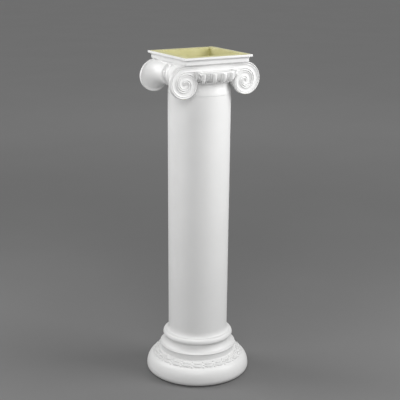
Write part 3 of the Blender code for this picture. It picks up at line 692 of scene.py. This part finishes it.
def bolster(name, hand):
    """Rings along Y, their radius and middle carried from the belt to the plate by u^2.6.

    The rings of the belt stand above the trumpets by the root of 1 - t^2 across each, and
    the groove between them lies below both. hand is -1 for the side towards -X, 1 for +X.
    """
    end = FACE_PLANE - FACE_THICKNESS / 2.0
    fine_end = BELT_HALF_WIDTH + BELT_FINE
    half = np.concatenate([np.linspace(0.0, fine_end, 34)[:-1], np.linspace(fine_end, end, 30)])
    y = np.concatenate([-half[:0:-1], half])
    reach = np.abs(y)
    u = np.clip((reach - BELT_HALF_WIDTH) / (end - BELT_HALF_WIDTH), 0.0, 1.0)
    share = u ** BOLSTER_FLARE
    groove_end = BELT_HALF_WIDTH - RING_WIDTH
    groove = 1.0 - smooth_step(groove_end - GROOVE_SIDE, groove_end, reach)
    outside = smooth_step(BELT_HALF_WIDTH - BELT_SIDE[0], BELT_HALF_WIDTH + BELT_SIDE[1], reach)
    ring_place = np.clip((reach - BELT_HALF_WIDTH + RING_WIDTH / 2.0) / (RING_WIDTH / 2.0), -1.0, 1.0)
    crown = RING_CROWN * np.sqrt(1.0 - ring_place ** 2)
    radius = BELT_RADIUS + (BOLSTER_END_RADIUS - BELT_RADIUS) * share
    radius += crown - GROOVE_DEPTH * groove - TRUMPET_STEP * outside * (1.0 - u)
    middle_x = hand * (BELT_X + (BOLSTER_END_X - BELT_X) * share)
    middle_z = top - (BELT_DROP + (BOLSTER_END_DROP - BELT_DROP) * share)
    angle = 2.0 * np.pi * np.arange(BOLSTER_TURN)[None, :] / BOLSTER_TURN
    x = middle_x[:, None] + radius[:, None] * np.cos(angle)
    z = middle_z[:, None] + radius[:, None] * np.sin(angle)
    return grid_mesh(name, np.stack(np.broadcast_arrays(x, y[:, None], z), axis=-1), False)


# Capital, half palmettes.
# In each inner corner of the scrolls a spray of pointed petals, cast in relief, hangs from
# the channel over the eggs. The fourth and fifth are one petal that folds back in a loop.
# Each row has start, bend and finish as (x, z), the half width and the distance in front.

PETAL_RINGS = 26
PETAL_SIDES = 14
PETAL_TIP = 0.12
PETAL_DEPTH = 2.2
PETAL_SINK = 0.004
PETALS = (
    ((-0.0700, 0.9575), (-0.0665, 0.9480), (-0.0655, 0.9330), 0.0030, 0.0995),
    ((-0.0690, 0.9570), (-0.0610, 0.9450), (-0.0560, 0.9330), 0.0032, 0.1020),
    ((-0.0680, 0.9560), (-0.0590, 0.9510), (-0.0490, 0.9415), 0.0034, 0.1055),
    ((-0.0560, 0.9420), (-0.0490, 0.9240), (-0.0385, 0.9390), 0.0028, 0.1070),
    ((-0.0375, 0.9370), (-0.0375, 0.9450), (-0.0425, 0.9530), 0.0026, 0.1080),
    ((-0.0690, 0.9580), (-0.0560, 0.9570), (-0.0455, 0.9540), 0.0028, 0.1045),
)


def petal(name, start, bend, finish, half_width, plane, hand, side):
    """A tube along the curve (1-u)^2 start + 2u(1-u) bend + u^2 finish, tapering at both ends.

    Its radius is the half width times 0.12 + 0.88 sin(pi u)^0.6, and it is 2.2 times as
    deep as it is wide.
    """
    u = np.linspace(0.0, 1.0, PETAL_RINGS)[:, None]
    start, bend, finish = (np.array(place) for place in (start, bend, finish))
    path = (1.0 - u) ** 2 * start + 2.0 * u * (1.0 - u) * bend + u * u * finish
    along = np.gradient(path, axis=0)
    along /= np.linalg.norm(along, axis=1)[:, None]
    radius = half_width * (PETAL_TIP + (1.0 - PETAL_TIP) * np.sin(np.pi * u) ** 0.6)
    angle = 2.0 * np.pi * np.arange(PETAL_SIDES)[None, :] / PETAL_SIDES
    x = path[:, :1] - along[:, 1:] * radius * np.cos(angle)
    z = path[:, 1:] + along[:, :1] * radius * np.cos(angle)
    y = side * (plane - PETAL_SINK + PETAL_DEPTH * radius * np.sin(angle))
    return grid_mesh(name, np.stack([-hand * x, y, z], axis=-1), False)


# Capital, abacus.
# The square top plate has a thin lip, a hollow cove and a plain band. It is cut flat on
# top, where the bare foam shows round the square opening.

ABACUS_HALF = 0.1125
ABACUS_LIP = 0.0065
COVE_HEIGHT = 0.0070
FASCIA_HALF = 0.1048
FASCIA_HEIGHT = 0.0080
EDGE_ROUND = 0.0006
EDGE_DROP = 0.0001
LIP_ROUND = 0.0005
UNDERSIDE_DROP = 0.0042
PLATE_OVERLAP = 0.0022
ABACUS_INNER = 0.0600
POCKET_HALF = 0.0860
POCKET_DEPTH = 0.0430
COAT_ON_TOP = 0.0026
CUSHION_HALF_X = 0.1000
CUSHION_HALF_Y = 0.0922
CUSHION_TOP = 0.0150
CUSHION_BOTTOM = 0.0560
CUT_MARGIN = 0.0200
CAPITAL_FOAM_LIGHT = (0.66, 0.63, 0.36)
CAPITAL_FOAM_SHADE = (0.57, 0.54, 0.26)


def abacus(name):
    """The section carried round a square: each corner is the section's reach times (+-1, +-1).

    The underside slopes down from the band to the scroll plates.
    """
    cove_top = top - ABACUS_LIP
    cove_bottom = cove_top - COVE_HEIGHT
    edge_middle = ABACUS_HALF - EDGE_ROUND
    band_bottom = cove_bottom - FASCIA_HEIGHT
    underside = band_bottom - UNDERSIDE_DROP
    reach_z = np.concatenate([
        [(ABACUS_INNER, top), (ABACUS_HALF - COAT_ON_TOP, top)],
        arc(edge_middle, top - EDGE_ROUND - EDGE_DROP, EDGE_ROUND, EDGE_ROUND, 90.0, 0.0, 4),
        arc(ABACUS_HALF - LIP_ROUND, cove_top + LIP_ROUND, LIP_ROUND, LIP_ROUND, 0.0, -90.0, 4),
        arc(edge_middle, cove_bottom, edge_middle - FASCIA_HALF, COVE_HEIGHT, 96.0, 180.0, 16),
        arc(FASCIA_HALF - EDGE_ROUND, band_bottom + EDGE_ROUND, EDGE_ROUND, EDGE_ROUND, 0.0, -90.0, 4),
        [(FACE_PLANE + PLATE_OVERLAP, underside), (ABACUS_INNER, underside)],
    ])
    corners = np.array([(1.0, 1.0), (-1.0, 1.0), (-1.0, -1.0), (1.0, -1.0)])
    x = corners[:, :1] * reach_z[:, 0]
    y = corners[:, 1:] * reach_z[:, 0]
    return grid_mesh(name, np.stack(np.broadcast_arrays(x, y, reach_z[:, 1]), axis=-1), True)


def block(name, low, high):
    """Box between two corners, as a cutter or a filling."""
    mesh = bpy.data.meshes.new(name)
    bm = bmesh.new()
    size = Vector(high) - Vector(low)
    place = Matrix.Translation((Vector(low) + Vector(high)) / 2.0) @ Matrix.Diagonal((*size, 1.0))
    bmesh.ops.create_cube(bm, size=1.0, matrix=place)
    bm.to_mesh(mesh)
    bm.free()
    return mesh


def drum(name, radius, low, high, steps):
    """Cylinder on Z, as the cutter of the bore."""
    mesh = bpy.data.meshes.new(name)
    bm = bmesh.new()
    bmesh.ops.create_cone(bm, cap_ends=True, segments=steps, radius1=radius, radius2=radius,
                          depth=high - low, matrix=Matrix.Translation((0.0, 0.0, (low + high) / 2.0)))
    bm.to_mesh(mesh)
    bm.free()
    return mesh


def join(piece, mesh, operation):
    """Boolean of the piece with another closed mesh, applied at once."""
    tool = bpy.data.objects.new("tool", mesh)
    bpy.context.scene.collection.objects.link(tool)
    modifier = piece.modifiers.new("Join", "BOOLEAN")
    modifier.operation = operation
    modifier.solver = "MANIFOLD"
    modifier.object = tool
    depsgraph = bpy.context.evaluated_depsgraph_get()
    result = bpy.data.meshes.new_from_object(piece.evaluated_get(depsgraph))
    piece.modifiers.clear()
    piece.data = result
    bpy.data.objects.remove(tool, do_unlink=True)


coat_on_capital = white_coat("white_coat_capital", COAT_LIGHT, COAT_SHADE, (1.0, 0.3, 0.3))
foam_of_capital = bare_foam("bare_foam_capital", CAPITAL_FOAM_LIGHT, CAPITAL_FOAM_SHADE)
capital = bpy.data.objects.new("capital_casting", grid_mesh("capital_casting", core_grid, True))
bpy.context.scene.collection.objects.link(capital)
cushion_low = (-CUSHION_HALF_X, -CUSHION_HALF_Y, top - CUSHION_BOTTOM)
cushion_high = (CUSHION_HALF_X, CUSHION_HALF_Y, top - CUSHION_TOP)
join(capital, block("cushion", cushion_low, cushion_high), "UNION")
for hand in (-1.0, 1.0):
    join(capital, bolster("bolster", hand), "UNION")
for side in (-1.0, 1.0):
    join(capital, scroll_face("scroll_face", side), "UNION")
for start, bend, finish, half_width, plane in PETALS:
    for hand in (-1.0, 1.0):
        for side in (-1.0, 1.0):
            join(capital, petal("petal", start, bend, finish, half_width, plane, hand, side), "UNION")
join(capital, abacus("abacus"), "UNION")
pocket_low = (-POCKET_HALF, -POCKET_HALF, top - POCKET_DEPTH)
pocket_high = (POCKET_HALF, POCKET_HALF, top + CUT_MARGIN)
join(capital, block("pocket", pocket_low, pocket_high), "DIFFERENCE")
bore = drum("bore", BORE_RADIUS, joint - CUT_MARGIN, top + CUT_MARGIN / 2.0, SHAFT_TURN)
join(capital, bore, "DIFFERENCE")
capital.data.materials.clear()
for material in (coat_on_capital, foam_of_capital):
    capital.data.materials.append(material)
capital.data.shade_smooth()
capital.data.set_sharp_from_angle(angle=math.radians(36.0))


def capital_is_bare(middle, normal):
    """The cut top, the walls and floor of the pocket, the bore and what lies below the joint.

    That is the cut underside, and with it the lowest millimetre of each scroll.
    """
    square = np.maximum(np.abs(middle[:, 0]), np.abs(middle[:, 1]))
    on_top = (middle[:, 2] > top - PAINT_MARGIN / 2.0) & (normal[:, 2] > 0.99)
    rim = (square < ABACUS_HALF - COAT_ON_TOP) & on_top
    pocket_floor = top - POCKET_DEPTH - PAINT_MARGIN
    walls = (square < POCKET_HALF + PAINT_MARGIN) & (middle[:, 2] > pocket_floor)
    return rim | walls | in_bore(middle) | (middle[:, 2] < joint + PAINT_MARGIN / 2.0)


paint_faces(capital.data, capital_is_bare)
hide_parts("capital")
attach(capital, "root")


# Studio.
# A soft lamp on each side of the column above its top, one in front of it and two low
# fills light it. The matt floor runs on to the horizon. Its colour is painted darker round
# the column, where the lamps fall, and paler far off, where they don't reach: painted shade
# and painted light that make it look evenly lit from the camera's viewing angle.

CAMERA_TURN = math.radians(30.638)
CAMERA_DISTANCE = 2.9135
CAMERA_HEIGHT = 1.3513
CAMERA_PAN = math.radians(0.088)
CAMERA_PITCH = math.radians(-15.375)
CAMERA_ROLL = math.radians(0.458)
FOCAL_PIXELS = 989.0
FRAME_PIXELS = 400.0
SENSOR_MM = 36.0
FLOOR_HALF = 20.0
FLOOR_NEAR = ((0.163, 0.163, 0.163), (0.171, 0.171, 0.171))
FLOOR_FAR = ((0.68, 0.68, 0.68), (0.70, 0.70, 0.70))
NEAR_UNTIL = 0.3
FAR_FROM = 4.5
AIR_LIGHT = 0.22


def seen(right, toward, up):
    """World place of a point given to the right of the column, towards the camera and up."""
    cosine = math.cos(CAMERA_TURN)
    sine = math.sin(CAMERA_TURN)
    return Vector((right * cosine - toward * sine, -right * sine - toward * cosine, up))


def soft_lamp(name, place, target, width, height, watts):
    """A rectangular lamp at a place, turned to face a target."""
    lamp = bpy.data.lights.new(name, "AREA")
    lamp.shape = "RECTANGLE"
    lamp.size = width
    lamp.size_y = height
    lamp.energy = watts
    holder = bpy.data.objects.new(name, lamp)
    bpy.context.scene.collection.objects.link(holder)
    holder.location = place
    holder.rotation_mode = "QUATERNION"
    holder.rotation_quaternion = (target - place).to_track_quat("-Z", "Y")
    return holder


floor_material = bpy.data.materials.new("studio_floor")
floor_material.use_nodes = True
floor_tree = floor_material.node_tree
floor_shader = floor_tree.nodes["Principled BSDF"]
floor_place = floor_tree.nodes.new("ShaderNodeTexCoord").outputs["Object"]
floor_clouds = noise(floor_tree, floor_place, 1.5, 3.0, 0.5)
# Painted shade and painted light: the floor colour goes from dark near the column to pale far off, by the
# distance from it, to even out where the lamps fall.
from_column = floor_tree.nodes.new("ShaderNodeVectorMath")
from_column.operation = "LENGTH"
link(floor_tree, floor_place, from_column.inputs[0])
paler = floor_tree.nodes.new("ShaderNodeMapRange")
paler.interpolation_type = "SMOOTHSTEP"
paler.inputs["From Min"].default_value = NEAR_UNTIL
paler.inputs["From Max"].default_value = FAR_FROM
link(floor_tree, from_column.outputs["Value"], paler.inputs["Value"])
floor_colour = floor_tree.nodes.new("ShaderNodeMix")
floor_colour.data_type = "RGBA"
link(floor_tree, paler.outputs["Result"], floor_colour.inputs["Factor"])
link(floor_tree, blend_colours(floor_tree, floor_clouds, *FLOOR_NEAR), floor_colour.inputs["A"])
link(floor_tree, blend_colours(floor_tree, floor_clouds, *FLOOR_FAR), floor_colour.inputs["B"])
link(floor_tree, floor_colour.outputs["Result"], floor_shader.inputs["Base Color"])
floor_shader.inputs["Roughness"].default_value = 0.9
floor_corners = [(-1, -1), (1, -1), (1, 1), (-1, 1)]
floor_points = [(FLOOR_HALF * x, FLOOR_HALF * y, 0.0) for x, y in floor_corners]
floor_mesh = bpy.data.meshes.new("studio_floor")
floor_mesh.from_pydata(floor_points, [], [(0, 1, 2, 3)])
floor = bpy.data.objects.new("studio_floor", floor_mesh)
bpy.context.scene.collection.objects.link(floor)
floor_mesh.materials.append(floor_material)

middle = Vector((0.0, 0.0, 0.75))
waist = Vector((0.0, 0.0, 0.6))
soft_lamp("lamp_right", seen(1.25, 0.15, 1.45), middle, 0.8, 1.1, 18.7)
soft_lamp("lamp_left", seen(-1.20, -0.25, 1.45), middle, 0.7, 1.1, 13.7)
soft_lamp("lamp_front", seen(0.0, 2.0, 1.9), waist, 1.4, 1.0, 18.6)
soft_lamp("fill_left", seen(-1.3, 1.0, 0.55), waist, 1.2, 1.0, 5.5)
soft_lamp("fill_right", seen(1.4, 0.9, 0.60), waist, 1.2, 1.0, 4.0)

world = bpy.data.worlds.new("studio_air")
bpy.context.scene.world = world
world.use_nodes = True
world.node_tree.nodes["Background"].inputs["Color"].default_value = (1.0, 1.0, 1.0, 1.0)
world.node_tree.nodes["Background"].inputs["Strength"].default_value = AIR_LIGHT
bpy.context.scene.view_settings.view_transform = "Standard"

flat_reach = math.cos(CAMERA_PITCH)
forward_right = math.sin(CAMERA_PAN) * flat_reach
forward_toward = -math.cos(CAMERA_PAN) * flat_reach
forward = seen(forward_right, forward_toward, math.sin(CAMERA_PITCH))
level = seen(math.cos(CAMERA_PAN), math.sin(CAMERA_PAN), 0.0)
upward = level.cross(forward)
rolled_right = level * math.cos(CAMERA_ROLL) + upward * math.sin(CAMERA_ROLL)
rolled_up = upward * math.cos(CAMERA_ROLL) - level * math.sin(CAMERA_ROLL)
camera = bpy.data.objects.new("camera", bpy.data.cameras.new("camera"))
bpy.context.scene.collection.objects.link(camera)
camera.data.sensor_width = SENSOR_MM
camera.data.lens = SENSOR_MM * FOCAL_PIXELS / FRAME_PIXELS
turn = Matrix((rolled_right, rolled_up, -forward)).transposed()
camera.matrix_world = Matrix.Translation(seen(0.0, CAMERA_DISTANCE, CAMERA_HEIGHT)) @ turn.to_4x4()
bpy.context.scene.camera = camera
